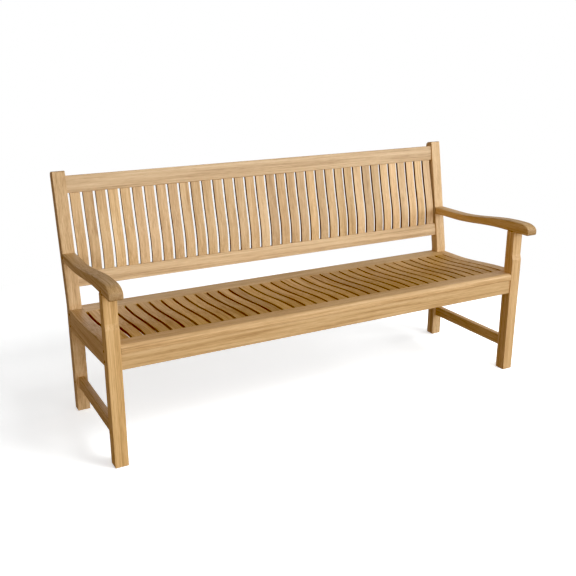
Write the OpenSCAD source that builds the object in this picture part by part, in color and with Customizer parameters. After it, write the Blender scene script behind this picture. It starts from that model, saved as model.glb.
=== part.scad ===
// Slatted hardwood garden bench with arms: two glued end frames joined by
// bolted long rails, a contoured seat and a contoured back of narrow slats.
// X runs along the bench, Y from front to back, Z up. The origin is on the
// floor at the middle of the footprint. "Left" and "right" are seen from the
// front, so left is -X. Inside the modules y = 0 is the front leg's front face.

/* [Overall] */
// Length over the outer faces of the legs
bench_l = 1800; // [1500:10:2160]
// Distance from the front of the front leg to the front of the rear leg
leg_spacing = 496; // [414:1:596]
// Height of the rear legs
back_h = 933; // [860:1:1120]
// Height of the seat's front board
seat_h = 442; // [368:1:480]
// Height of the arm's crown
arm_h = 666; // [600:1:720]

/* [Legs] */
// Side of the square front leg, and width of every end frame member
leg_w = 48; // [44:1:58]
// Thickness of the rear leg from front to back
rear_leg_t = 42; // [38:1:50]
// Backward lean of the rear leg above the seat, in degrees
lean = 10.2; // [6:0.1:14]
// Set-back of the front leg's face above its shoulder
shoulder = 6; // [2:1:10]

/* [Seat] */
// Width of a slat
slat_w = 38; // [32:1:46]
// Target width of the gap between slats
slat_gap = 10.4; // [6:0.1:16]
// Thickness of a seat slat
seat_slat_t = 12; // [10:1:16]
// Depth of the front board from front to back
front_board_d = 63; // [56:1:76]
// Drop of the seat from the front board to the back
seat_dip = 21.5; // [10:0.5:26]
// Height of the front apron
apron_h = 58; // [48:1:70]

/* [Back] */
// Thickness of a back slat
back_slat_t = 11; // [9:1:14]
// Height of the top back rail
top_rail_h = 65; // [54:1:78]
// Height of the lower back rail
low_rail_h = 54; // [45:1:65]
// Thickness of both back rails
back_rail_t = 30; // [28:1:32]

/* [Arms] */
// Overhang of the arm in front of the front leg
arm_nose = 72; // [50:1:86]
// Thickness of the arm where it meets the rear leg
arm_tail_t = 30; // [26:1:36]

/* [Side stretchers] */
// Height of the stretcher's underside above the floor
stretcher_z = 99; // [80:1:180]
// Height of the stretcher
stretcher_h = 45; // [38:1:60]
// Thickness of the stretcher
stretcher_t = 24; // [20:1:30]

/* [Joints] */
// Clearance between a tenon and its mortise, and round a plug or a pin
fit = 0.1; // [0.05:0.05:0.3]
// Depth of the glued tenons of the end frames
tenon_l = 18; // [14:1:19]
// Thickness of the end frame tenons
tenon_t = 10; // [8:1:14]
// Depth of the stub tenons on the bolted rails
stub_l = 12; // [8:1:16]
// Thickness of the stub tenons
stub_t = 14; // [12:1:16]
// Diameter of the locking pins
pin_d = 10; // [8:1:11]
// Diameter of the frame bolts
bolt_d = 8; // [6:1:8]

/* [Hidden] */
eps = 0.01;
steps = 14;                         // chords in a long curve
half_l = bench_l / 2;
inner_x = half_l - leg_w;           // inner faces of the legs and side rails
mid_x = half_l - leg_w / 2;         // centre plane of an end frame

// rear leg: (u, v) run across and up the leaning part, from the bend
bend_z = seat_h - 2;
top_v = (back_h - bend_z) / cos(lean);
leg_top_r = [6, 16];                // front and rear rounding of the top
function lean_pt(u, v) = [
    leg_spacing + u * cos(lean) + v * sin(lean),
    bend_z - u * sin(lean) + v * cos(lean)
];
function arc(c, r, a0, a1, n = 6) = [
    for (i = [0:n]) let (a = a0 + (a1 - a0) * i / n) [c[0] + r * cos(a), c[1] + r * sin(a)]
];
function leaned(points) = [for (p = points) lean_pt(p[0], p[1])];
function reversed(list) = [for (i = [len(list) - 1:-1:0]) list[i]];
function ease(t) = (1 - cos(180 * min(1, max(0, t)))) / 2;

// the footprint's middle
back_y = lean_pt(rear_leg_t - leg_top_r[1], top_v - leg_top_r[1])[0] + leg_top_r[1];
shift_y = (arm_nose - back_y) / 2;

// seat: the top falls in one soft wave from the front board to the back
curve_y0 = front_board_d - 3;
curve_end = 96;                     // the wave ends this far in front of the rear legs
curve_y1 = leg_spacing - curve_end;
seat_rear_z = seat_h - seat_dip;
function seat_z(y) = seat_h - seat_dip * ease((y - curve_y0) / (curve_y1 - curve_y0));
seat_curve = [
    for (i = [0:steps]) let (y = curve_y0 + (curve_y1 - curve_y0) * i / steps) [y, seat_z(y)]
];
board_t = 30;                       // thickness of the front and rear boards
board_r = 13;                       // rounding of the front board's nosing
apron_t = 28;
apron_y = 5;                        // the nosing overhangs the apron by this
rear_board_lap = 44;                // the rear board runs this far in front of the rear legs
rear_board_y0 = leg_spacing - rear_board_lap;
rear_board_y1 = leg_spacing + rear_leg_t - 2;
rear_apron_y = rear_board_y1 - apron_t;
rear_apron_z = seat_rear_z - board_t - apron_h;
front_apron_z = seat_h - board_t - apron_h;
rail_z = [front_apron_z + 10, rear_apron_z + 1];    // side rail's sloping underside

// slats: as many as fit the clear length, at an even pitch
clear_l = 2 * inner_x;
slat_n = round((clear_l - slat_gap) / (slat_w + slat_gap));
pitch = (clear_l + slat_w) / (slat_n + 1);
function slat_x(i) = (i - (slat_n - 1) / 2) * pitch;
groups = 17;                        // slats are joined in this many nodes per panel
function group_start(g) = round(g * slat_n / groups);
tongue_t = 6;
tongue_w = slat_w - 8;
tongue_l = 11;

// back rails and the slats' lumbar curve, in (u, v)
rail_u = 5;                         // set-back of the rails from the leg's face
low_bow = 2.5;                      // depth of each rail's bow
top_bow = 4;
ear_h = 18.5;                       // the rear legs stand this far above the top rail
top_rail_v = top_v - ear_h - top_rail_h;
low_rail_v = 64;
low_top_v = low_rail_v + low_rail_h;
slat_curve = [[9, 0], [-9.6, 0.37], [9.4, 0.395], [12, 1]];
function bezier(p, t) =
    pow(1 - t, 3) * p[0] + 3 * t * pow(1 - t, 2) * p[1] + 3 * t * t * (1 - t) * p[2] + pow(t, 3) * p[3];
function slat_front(t) = let (q = bezier(slat_curve, t)) [q[0], low_top_v + q[1] * (top_rail_v - low_top_v)];

// arms
arm_nose_t = 44;
arm_seat_z = arm_h - arm_nose_t;    // underside over the front leg
shoulder_z = [seat_h + 59, seat_h + 80];    // foot and head of the front leg's bevel
arm_tail_z = arm_h - 34;            // top at the rear leg
arm_wave = [5, leg_spacing - 106];  // y range of the top's wave
arm_under_wave = [80, leg_spacing - 100];
nose_r = [arm_nose - 16, 26];       // half axes of the nose's upper curve

// support under the seat
bearer_y = [leg_spacing / 2 - 21, leg_spacing / 2 + 39];
bearer_t = 20;
brace_x = 6.5 * pitch;
brace_t = 28;
brace_stub_w = 10;
brace_stub_h = 28;
brace_stub_l = 10;
brace_stub_z = rear_apron_z + 26;
function bearer_top(y) = let (z0 = seat_z(bearer_y[0]), z1 = seat_z(bearer_y[1]))
    z0 + (z1 - z0) * (y - bearer_y[0]) / (bearer_y[1] - bearer_y[0]) - seat_slat_t - 0.3;

// bolts: [y, z, tilt] of each bolt's axis, which runs along X
head_d = 14;
head_l = 6;
plug_d = 16;
plug_l = 10;
nut_d = 14;
nut_x = inner_x - 32;
nut_in = 9.5;                       // a barrel nut starts this far in front of the bolt's axis
nut_l = nut_in + apron_t / 2 - 0.2; // and ends just below the rear face
nut_hole_in = 10;
function back_bolt(v) = concat(lean_pt(rail_u + back_rail_t / 2, v), lean);
bolts = [
    [apron_y + apron_t / 2, front_apron_z + apron_h / 2, 0],
    [rear_apron_y + apron_t / 2, rear_apron_z + apron_h / 2, 0],
    back_bolt(low_rail_v + low_rail_h / 2),
    back_bolt(top_rail_v + top_rail_h / 2)
];
// pins: [y, z] of each locking pin in an end frame
arm_joint_v = (arm_tail_z - arm_tail_t / 2 - bend_z) / cos(lean);
rear_rail_l = 15;                   // the side rail's rear tenon is shorter, to clear the bolt
leg_tenon_y = [12, leg_w - 8];
leg_tenon_h = 18;
pins = [
    [leg_w - tenon_l / 2, rail_z[0] + 18],
    [leg_w - tenon_l / 2, seat_h - 24],
    [leg_spacing + rear_rail_l / 2, rail_z[1] + 20],
    [leg_spacing + rear_rail_l / 2, seat_rear_z - 20],
    [leg_w - tenon_l / 2, stretcher_z + stretcher_h / 2],
    [leg_spacing + tenon_l / 2, stretcher_z + stretcher_h / 2],
    lean_pt(8, arm_joint_v),
    [(leg_tenon_y[0] + leg_tenon_y[1]) / 2, arm_seat_z + leg_tenon_h / 2]
];
pin_l = leg_w - 10;
dowel_d = 10;
dowel_l = 40;
screw_d = 4;
screw_l = 23;
screw_head_d = 8;
screw_head_l = 4;
dowel_x = [for (i = [-2:2]) i * inner_x * 0.4];

heartwood = "#c49a63";
sapwood = "#d3ab74";
ironmongery = "#b9b9b4";

function two_digits(n) = n < 10 ? str("0", n) : str(n);
function seat_node(g) = str("seat_slats_", two_digits(g + 1));
function back_node(g) = str("back_slats_", two_digits(g + 1));

// ---- helpers ----

// sets a piece on the shared frame
module place() {
    translate([0, shift_y, 0]) children();
}

// the left-hand twin of a right-hand piece
module left() {
    mirror([1, 0, 0]) children();
}

// a bar along X from x0 to x1 whose cross-section is drawn in (y, z)
module bar(x0, x1) {
    translate([x0, 0, 0]) rotate([90, 0, 90]) linear_extrude(x1 - x0) children();
}

// a box between two corners, grown on every side
module box(a, b, grow = 0) {
    translate(a - [grow, grow, grow]) cube(b - a + 2 * [grow, grow, grow]);
}

// a box given in (x, u, v) of the leaning back
module leaning_box(a, b, grow = 0) {
    translate([0, leg_spacing, bend_z]) rotate([-lean, 0, 0]) box(a, b, grow);
}

// a round bar along X through a (y, z) point
module x_rod(p, d, x0, x1) {
    translate([x0, p[0], p[1]]) rotate([0, 90, 0]) cylinder(h = x1 - x0, d = d, $fn = 32);
}

// holes for the locking pins of one end frame
module pin_holes() {
    for (p = pins) x_rod(p, pin_d + 2 * fit, half_l - pin_l - fit, half_l + 1);
}

// counterbores and shank holes for the bolts of one end frame
module bolt_holes() {
    for (b = bolts) {
        x_rod(b, plug_d + 2 * fit, half_l - plug_l - head_l - fit, half_l + 1);
        x_rod(b, bolt_d + 0.4, nut_x - nut_d - 2, half_l);
    }
}

// blind cross hole for a barrel nut, open at the rear
module nut_hole(b) {
    translate([nut_x, b[0], b[1]]) rotate([-90 - b[2], 0, 0]) translate([0, 0, -nut_hole_in])
        cylinder(h = nut_hole_in + 40, d = nut_d + 2 * fit, $fn = 32);
}

// ---- tenons, drawn once for the piece and once grown for its mortise ----

apron_stub_in = 7;                  // each stub is set in this far from its rail's edges
board_stub_in = 9;
back_stub_in = 10;
board_stub_y = [8, leg_w - tenon_l - 6];

module side_rail_tenons(grow = 0) {
    box([mid_x - tenon_t / 2, leg_w - tenon_l, rail_z[0] + 6],
        [mid_x + tenon_t / 2, leg_w + 1, seat_h - 12], grow);
    box([mid_x - tenon_t / 2, leg_spacing - 1, rail_z[1] + 8],
        [mid_x + tenon_t / 2, leg_spacing + rear_rail_l, seat_rear_z - 10], grow);
}

module stretcher_tenons(grow = 0) {
    box([mid_x - tenon_t / 2, leg_w - tenon_l, stretcher_z + 5],
        [mid_x + tenon_t / 2, leg_spacing + tenon_l, stretcher_z + stretcher_h - 5], grow);
}

module arm_tenon(grow = 0) {
    leaning_box([mid_x - tenon_t / 2, -3, arm_joint_v - 8],
                [mid_x + tenon_t / 2, tenon_l - 2, arm_joint_v + 8], grow);
}

module leg_tenon(grow = 0) {
    box([mid_x - 11, leg_tenon_y[0], arm_seat_z - 1],
        [mid_x + 11, leg_tenon_y[1], arm_seat_z + leg_tenon_h], grow);
}

module apron_stub(y, z, grow = 0) {
    box([inner_x - 1, y + (apron_t - stub_t) / 2, z + apron_stub_in],
        [inner_x + stub_l, y + (apron_t + stub_t) / 2, z + apron_h - apron_stub_in], grow);
}

module board_stub(y0, y1, z, grow = 0) {
    box([inner_x - 1, y0, z + board_stub_in], [inner_x + stub_l, y1, z + board_t - board_stub_in], grow);
}

module back_stub(v, h, grow = 0) {
    leaning_box([inner_x - 1, rail_u + (back_rail_t - stub_t) / 2, v + back_stub_in],
                [inner_x + stub_l, rail_u + (back_rail_t + stub_t) / 2, v + h - back_stub_in], grow);
}

module bearer_stub(grow = 0) {
    z = bearer_top(bearer_y[1]) - bearer_t;
    box([inner_x - 1, bearer_y[0] + 12, z + 8], [inner_x + stub_l, bearer_y[1] - 12, z + 18], grow);
}

module brace_stub(y0, y1, grow = 0) {
    box([brace_x - brace_stub_w / 2, y0, brace_stub_z],
        [brace_x + brace_stub_w / 2, y1, brace_stub_z + brace_stub_h], grow);
}

// both ends of a long rail
module both_ends() {
    children();
    left() children();
}

// ---- end frames ----

module front_leg() {
    color(heartwood) place() difference() {
        union() {
            bar(inner_x, half_l) polygon([
                [0, 0], [leg_w, 0], [leg_w, arm_seat_z], [shoulder, arm_seat_z],
                [shoulder, shoulder_z[1]], [0, shoulder_z[0]]
            ]);
            leg_tenon();
        }
        side_rail_tenons(fit);
        stretcher_tenons(fit);
        apron_stub(apron_y, front_apron_z, fit);
        board_stub(board_stub_y[0], board_stub_y[1], seat_h - board_t, fit);
        pin_holes();
        bolt_holes();
    }
}

module rear_leg() {
    color(heartwood) place() difference() {
        bar(inner_x, half_l) polygon(concat(
            [[leg_spacing, 0], [leg_spacing + rear_leg_t, 0]],
            [lean_pt(rear_leg_t, rear_leg_t * tan(lean / 2))],
            leaned(arc([rear_leg_t - leg_top_r[1], top_v - leg_top_r[1]], leg_top_r[1], 0, 90, 8)),
            leaned(arc([leg_top_r[0], top_v - leg_top_r[0]], leg_top_r[0], 90, 180)),
            [lean_pt(0, 0)]
        ));
        side_rail_tenons(fit);
        stretcher_tenons(fit);
        arm_tenon(fit);
        apron_stub(rear_apron_y, rear_apron_z, fit);
        back_stub(low_rail_v, low_rail_h, fit);
        back_stub(top_rail_v, top_rail_h, fit);
        pin_holes();
        bolt_holes();
    }
}

// side view of the arm: a level pad over the front leg, a soft wave back to
// the tail, and a nose made of a quarter ellipse and a small lower rounding
function wave(y, ends, z0, z1) = z0 + (z1 - z0) * ease((y - ends[0]) / (ends[1] - ends[0]));
function wave_points(ends, z0, z1) = [
    for (i = [0:steps]) let (y = ends[0] + (ends[1] - ends[0]) * i / steps) [y, wave(y, ends, z0, z1)]
];
function arm_end_y(z) = leg_spacing + (z - bend_z) * tan(lean);
function arm_outline() = let (
    nose_y = nose_r[0] - arm_nose,
    low_r = 8,
    under_z = arm_tail_z - arm_tail_t
) concat(
    [for (i = [0:8]) let (a = 180 - i * 90 / 8)
        [nose_y + nose_r[0] * cos(a), arm_h - nose_r[1] + nose_r[1] * sin(a)]],
    wave_points(arm_wave, arm_h, arm_tail_z),
    [[arm_end_y(arm_tail_z), arm_tail_z], [arm_end_y(under_z), under_z]],
    reversed(wave_points(arm_under_wave, arm_seat_z, under_z)),
    arc([low_r - arm_nose, arm_seat_z + low_r], low_r, 270, 180, 4)
);

module arm() {
    color(sapwood) place() difference() {
        union() {
            bar(inner_x, half_l) polygon(arm_outline());
            arm_tenon();
        }
        leg_tenon(fit);
        pin_holes();
    }
}

module side_rail() {
    color(heartwood) place() difference() {
        union() {
            bar(inner_x, half_l) polygon(concat(
                [[leg_w, rail_z[0]], [leg_w, seat_h]],
                seat_curve,
                [[leg_spacing, seat_rear_z], [leg_spacing, rail_z[1]]]
            ));
            side_rail_tenons();
        }
        pin_holes();
        bearer_stub(fit);
    }
}

module stretcher() {
    color(heartwood) place() difference() {
        union() {
            box([mid_x - stretcher_t / 2, leg_w, stretcher_z],
                [mid_x + stretcher_t / 2, leg_spacing, stretcher_z + stretcher_h]);
            stretcher_tenons();
        }
        pin_holes();
    }
}

// ---- seat frame ----

module front_apron() {
    color(heartwood) place() difference() {
        union() {
            box([-inner_x, apron_y, front_apron_z], [inner_x, apron_y + apron_t, front_apron_z + apron_h]);
            both_ends() apron_stub(apron_y, front_apron_z);
        }
        both_ends() {
            bolt_holes();
            nut_hole(bolts[0]);
            brace_stub(apron_y + apron_t - brace_stub_l, apron_y + apron_t + 1, fit);
        }
        front_dowels(fit);
    }
}

module seat_front_board() {
    z0 = seat_h - board_t;
    color(sapwood) place() difference() {
        union() {
            bar(-inner_x, inner_x) polygon(concat(
                [[4, z0], [0, z0 + 4]],
                arc([board_r, seat_h - board_r], board_r, 180, 90),
                [[front_board_d, seat_h], [front_board_d, z0]]
            ));
            both_ends() board_stub(board_stub_y[0], board_stub_y[1], z0);
        }
        for (i = [0:slat_n - 1]) seat_tongues(i, fit);
        front_dowels(fit);
    }
}

module rear_apron() {
    color(heartwood) place() difference() {
        union() {
            box([-inner_x, rear_apron_y, rear_apron_z], [inner_x, rear_board_y1, rear_apron_z + apron_h]);
            both_ends() apron_stub(rear_apron_y, rear_apron_z);
        }
        both_ends() {
            bolt_holes();
            nut_hole(bolts[1]);
            brace_stub(rear_apron_y - 1, rear_apron_y + brace_stub_l, fit);
        }
        rear_dowels(fit);
    }
}

module seat_rear_board() {
    z0 = seat_rear_z - board_t;
    color(heartwood) place() difference() {
        bar(-inner_x, inner_x) polygon([
            [rear_board_y0, z0], [rear_board_y0, seat_rear_z], [rear_board_y1 - 4, seat_rear_z],
            [rear_board_y1, seat_rear_z - 4], [rear_board_y1, z0]
        ]);
        for (i = [0:slat_n - 1]) seat_tongues(i, fit);
        rear_dowels(fit);
    }
}

// tongues of one seat slat, at its front and its rear end
module seat_tongues(i, grow = 0) {
    x0 = slat_x(i) - tongue_w / 2;
    drop = (seat_slat_t + tongue_t) / 2;
    box([x0, front_board_d - tongue_l, seat_h - drop],
        [x0 + tongue_w, front_board_d + 1, seat_h - drop + tongue_t], grow);
    box([x0, rear_board_y0 - 1, seat_rear_z - drop],
        [x0 + tongue_w, rear_board_y0 + tongue_l, seat_rear_z - drop + tongue_t], grow);
}

// the seat slats of one group, with a pilot hole for the screw from below
module seat_slats(g) {
    top = concat(
        [[front_board_d, seat_z(front_board_d)]],
        [for (i = [1:steps]) seat_curve[i]],
        [[rear_board_y0, seat_rear_z]]
    );
    outline = concat(top, [for (p = reversed(top)) p - [0, seat_slat_t]]);
    color(sapwood) place() for (i = [group_start(g):group_start(g + 1) - 1]) difference() {
        union() {
            bar(slat_x(i) - slat_w / 2, slat_x(i) + slat_w / 2) polygon(outline);
            seat_tongues(i);
        }
        slat_screw(i, 2 * fit);
    }
}

// a flat board under the middle of the slats, which are screwed to it
function bearer_outline(c) = [
    [bearer_y[0] - c, bearer_top(bearer_y[0] - c) + c], [bearer_y[1] + c, bearer_top(bearer_y[1] + c) + c],
    [bearer_y[1] + c, bearer_top(bearer_y[1] + c) - bearer_t - c],
    [bearer_y[0] - c, bearer_top(bearer_y[0] - c) - bearer_t - c]
];

module seat_bearer() {
    color(heartwood) place() difference() {
        union() {
            bar(-inner_x, inner_x) polygon(bearer_outline(0));
            both_ends() bearer_stub();
        }
        for (i = [0:slat_n - 1]) slat_screw(i, fit);
    }
}

// ties the aprons together and carries the bearer in a notch
module cross_brace() {
    y0 = apron_y + apron_t;
    z0 = front_apron_z + 2;
    z1 = seat_h - board_t - 8;
    color(heartwood) place() difference() {
        union() {
            bar(brace_x - brace_t / 2, brace_x + brace_t / 2) polygon([
                [y0, z0], [y0, z1], [rear_board_y0 - 4, z1 - 4],
                [rear_board_y0 - 4, seat_rear_z - board_t - 1], [rear_apron_y, seat_rear_z - board_t - 1],
                [rear_apron_y, z0]
            ]);
            brace_stub(y0 - brace_stub_l + fit, y0 + 1);
            brace_stub(rear_apron_y - 1, rear_apron_y + brace_stub_l - fit);
        }
        bar(brace_x - brace_t, brace_x + brace_t) polygon(bearer_outline(fit));
    }
}

// ---- back ----

// a back rail from v0 at its free edge to v1 at the slats: the face bows back
// towards the slats by the depth bow_d, and the free edge is eased
module back_rail(v0, v1, bow_d) {
    bow_l = 34;
    up = v1 > v0 ? 1 : -1;
    bow = [for (i = [0:6]) let (s = i / 6) [rail_u + bow_d * s * s, v1 + up * bow_l * (s - 1)]];
    bar(-inner_x, inner_x) polygon(leaned(concat(
        [[rail_u + 3, v0], [rail_u, v0 + 3 * up]], bow,
        [[rail_u + back_rail_t, v1], [rail_u + back_rail_t, v0]]
    )));
    both_ends() back_stub(min(v0, v1), abs(v1 - v0));
}

module lower_back_rail() {
    color(heartwood) place() difference() {
        back_rail(low_rail_v, low_top_v, low_bow);
        both_ends() {
            bolt_holes();
            nut_hole(bolts[2]);
        }
        for (i = [0:slat_n - 1]) back_tongues(i, fit);
    }
}

module top_back_rail() {
    color(sapwood) place() difference() {
        back_rail(top_rail_v + top_rail_h, top_rail_v, top_bow);
        both_ends() {
            bolt_holes();
            nut_hole(bolts[3]);
        }
        for (i = [0:slat_n - 1]) back_tongues(i, fit);
    }
}

// tongues of one back slat, at its lower and its upper end
module back_tongues(i, grow = 0) {
    x0 = slat_x(i) - tongue_w / 2;
    u0 = slat_curve[0][0] + (back_slat_t - tongue_t) / 2;
    u1 = slat_curve[3][0] + (back_slat_t - tongue_t) / 2;
    leaning_box([x0, u0, low_top_v - tongue_l], [x0 + tongue_w, u0 + tongue_t, low_top_v + 1], grow);
    leaning_box([x0, u1, top_rail_v - 1], [x0 + tongue_w, u1 + tongue_t, top_rail_v + tongue_l], grow);
}

// the back slats of one group
module back_slats(g) {
    front = [for (i = [0:steps]) slat_front(i / steps)];
    outline = leaned(concat(front, [for (i = [steps:-1:0]) front[i] + [back_slat_t, 0]]));
    color(sapwood) place() for (i = [group_start(g):group_start(g + 1) - 1]) {
        bar(slat_x(i) - slat_w / 2, slat_x(i) + slat_w / 2) polygon(outline);
        back_tongues(i);
    }
}

// ---- pins, dowels and ironmongery ----

module joint_pins() {
    color(sapwood) place() both_ends() for (p = pins) x_rod(p, pin_d, half_l - pin_l, half_l);
}

module front_dowels(grow = 0) {
    for (x = dowel_x) translate([x, apron_y + apron_t / 2, seat_h - board_t - dowel_l / 2 - grow])
        cylinder(h = dowel_l + 2 * grow, d = dowel_d + 2 * grow, $fn = 32);
}

module rear_dowels(grow = 0) {
    for (x = dowel_x) translate([x, rear_apron_y + apron_t / 2, seat_rear_z - board_t - dowel_l / 2 - grow])
        cylinder(h = dowel_l + 2 * grow, d = dowel_d + 2 * grow, $fn = 32);
}

module board_dowels() {
    color(sapwood) place() {
        front_dowels();
        rear_dowels();
    }
}

module frame_bolts() {
    color(ironmongery) place() both_ends() for (b = bolts) {
        x_rod(b, head_d, half_l - plug_l - head_l, half_l - plug_l);
        x_rod(b, bolt_d, nut_x - nut_d, half_l - plug_l - head_l + eps);
    }
}

module barrel_nuts() {
    color(ironmongery) place() both_ends() for (b = bolts) difference() {
        translate([nut_x, b[0], b[1]]) rotate([-90 - b[2], 0, 0]) translate([0, 0, -nut_in])
            cylinder(h = nut_l, d = nut_d, $fn = 32);
        x_rod(b, bolt_d + 2 * fit, nut_x - nut_d, nut_x + nut_d);
    }
}

module bolt_plugs() {
    color(sapwood) place() both_ends() for (b = bolts) x_rod(b, plug_d, half_l - plug_l + fit, half_l);
}

// screw through the bearer into one seat slat
module slat_screw(i, grow = 0) {
    y = (bearer_y[0] + bearer_y[1]) / 2;
    z = bearer_top(y) - bearer_t;
    translate([slat_x(i), y, z]) {
        translate([0, 0, grow > 0 ? -4 : 1])
            cylinder(h = grow > 0 ? 5 + screw_head_l : screw_head_l, d = screw_head_d + 2 * grow, $fn = 32);
        translate([0, 0, screw_head_l]) cylinder(h = screw_l + grow, d = screw_d + 2 * grow, $fn = 32);
    }
}

module slat_screws() {
    color(ironmongery) place() for (i = [0:slat_n - 1]) slat_screw(i);
}

// ---- the nodes ----

left() front_leg();  // front_leg_left
front_leg();  // front_leg_right
left() rear_leg();  // rear_leg_left
rear_leg();  // rear_leg_right
left() arm();  // arm_left
arm();  // arm_right
left() side_rail();  // side_rail_left
side_rail();  // side_rail_right
left() stretcher();  // stretcher_left
stretcher();  // stretcher_right
front_apron();
seat_front_board();
rear_apron();
seat_rear_board();
lower_back_rail();
top_back_rail();
seat_bearer();
left() cross_brace();  // cross_brace_left
cross_brace();  // cross_brace_right
joint_pins();
board_dowels();
frame_bolts();
barrel_nuts();
bolt_plugs();
slat_screws();
for (g = [0:groups - 1]) seat_slats(g);
for (g = [0:groups - 1]) back_slats(g);
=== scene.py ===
"""Oiled teak garden bench: eased timber surfaces, grain that follows each board, painted shade and painted
sheen on some boards, and a white studio.
"""

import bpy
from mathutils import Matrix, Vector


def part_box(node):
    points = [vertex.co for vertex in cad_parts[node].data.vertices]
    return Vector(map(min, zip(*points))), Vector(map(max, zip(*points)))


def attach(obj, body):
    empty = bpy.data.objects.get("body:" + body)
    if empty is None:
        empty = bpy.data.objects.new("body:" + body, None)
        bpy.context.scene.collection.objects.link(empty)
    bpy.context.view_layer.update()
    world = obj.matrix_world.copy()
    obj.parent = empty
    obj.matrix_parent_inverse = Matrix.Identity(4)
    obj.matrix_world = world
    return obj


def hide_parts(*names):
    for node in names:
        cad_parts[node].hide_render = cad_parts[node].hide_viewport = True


bl_info = {
    "name": "Slatted Teak Garden Bench",
    "version": (1, 0, 0),
    "blender": (4, 5, 0),
    "location": "View3D > Sidebar > Bench",
    "description": "Builds the visible timber, pins and ironmongery of a slatted garden bench",
    "category": "Object",
}

import math

import bpy
import numpy as np

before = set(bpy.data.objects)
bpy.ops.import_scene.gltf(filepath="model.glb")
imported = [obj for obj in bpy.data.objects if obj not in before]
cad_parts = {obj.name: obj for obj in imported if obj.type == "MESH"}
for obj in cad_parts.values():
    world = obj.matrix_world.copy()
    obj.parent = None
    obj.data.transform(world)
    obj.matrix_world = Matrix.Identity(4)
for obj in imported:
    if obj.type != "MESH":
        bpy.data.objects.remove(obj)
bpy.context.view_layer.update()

MM = 0.001


# ---- sizes read from the frame ----

def span(node, axis):
    """Lowest and highest value of a CAD node along one axis, 0 for X, 1 for Y, 2 for Z."""
    low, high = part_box(node)
    return low[axis], high[axis]


INNER_X, HALF_L = span("front_leg_right", 0)
FRONT_Y, LEG_BACK_Y = span("front_leg_right", 1)
REAR_LEG_Y = span("rear_leg_right", 1)[0]
SEAT_Z = span("seat_front_board", 2)[1]
SEAT_REAR_Z = span("seat_rear_board", 2)[1]
BOARD_BACK_Y = span("seat_front_board", 1)[1]
REAR_BOARD_Y = span("seat_rear_board", 1)
ARM_NOSE_Y = span("arm_right", 1)[0]
LEG_TENON = 18 * MM                     # the front leg's tenon goes this far up into the arm
ARM_UNDER_Z = span("front_leg_right", 2)[1] - LEG_TENON
ARM_TOP_Z = span("arm_right", 2)[1]


# ---- sizes of the joinery ----

BACK_H = 933 * MM                       # height of the rear legs before their tops are rounded
TOP_ROUNDING = 1 * MM                   # what the rounding takes off that height
BEND_DROP = 2 * MM                      # the rear legs bend this far below the front board's top
LOW_RAIL_V = (64 * MM, 118 * MM)        # edges of the lower back rail, up the leg from the bend
TOP_RAIL_DOWN = (83.5 * MM, 18.5 * MM)  # edges of the top back rail, down the leg from its top
RAIL_U = (5 * MM, 35 * MM)              # faces of the back rails, behind the leg's front face
WAVE_START = 3 * MM                     # the seat's wave starts this far in front of the slats
WAVE_END = 96 * MM                      # and ends this far in front of the rear legs
BEARER_T = 20 * MM
BEARER_GAP = 0.3 * MM                   # between the bearer's top and the slats
NUT_IN = 32 * MM                        # from the end of a rail to its barrel nut
NUT_R, SCREW_R, PIN_R, PLUG_R = 7 * MM, 4 * MM, 5 * MM, 8 * MM
PROUD = 0.25 * MM                       # pins and plugs stand this far out of the leg

# the slats' lumbar curve: millimetres behind the leg's front face, and share of the slat's height
LUMBAR = [[9, 0], [-9.6, 0.37], [9.4, 0.395], [12, 1]]

# radius of the edges that run along X, and of those round the faces that look along X
LEG_CORNER, RAIL_CORNER, SLAT_CORNER = 2.5 * MM, 2.2 * MM, 0.9 * MM
ARM_EASE, RAIL_EASE, SLAT_EASE = 4 * MM, 0.9 * MM, 0.6 * MM


class BenchSizes(bpy.types.PropertyGroup):
    """Sizes of the timber that a maker would change."""

    lean: bpy.props.FloatProperty(
        name="Lean", description="Backward lean of the rear legs", default=math.radians(10.2),
        subtype="ANGLE")
    rear_leg_t: bpy.props.FloatProperty(
        name="Rear leg", description="Thickness of the rear leg", default=42 * MM, unit="LENGTH")
    slat_w: bpy.props.FloatProperty(
        name="Slat width", description="Width of every slat", default=38 * MM, unit="LENGTH")
    slat_gap: bpy.props.FloatProperty(
        name="Slat gap", description="Target gap between slats", default=10.4 * MM, unit="LENGTH")
    seat_slat_t: bpy.props.FloatProperty(
        name="Seat slat", description="Thickness of a seat slat", default=12 * MM, unit="LENGTH")
    back_slat_t: bpy.props.FloatProperty(
        name="Back slat", description="Thickness of a back slat", default=11 * MM, unit="LENGTH")
    eased: bpy.props.FloatProperty(
        name="Eased edge", description="Radius sanded on the long edges", default=2.2 * MM, unit="LENGTH")


class TeakLook(bpy.types.PropertyGroup):
    """Colours of the timber, as sRGB hex, and how far boards differ."""

    dark: bpy.props.StringProperty(name="Dark grain", description="Late wood lines", default="#b29063")
    middle: bpy.props.StringProperty(name="Ground", description="Main colour", default="#cead7e")
    light: bpy.props.StringProperty(name="Light grain", description="Early wood", default="#dcbe91")
    spread: bpy.props.FloatProperty(
        name="Spread", description="How far boards differ in tone", default=0.10, min=0, max=1,
        subtype="FACTOR")


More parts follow.
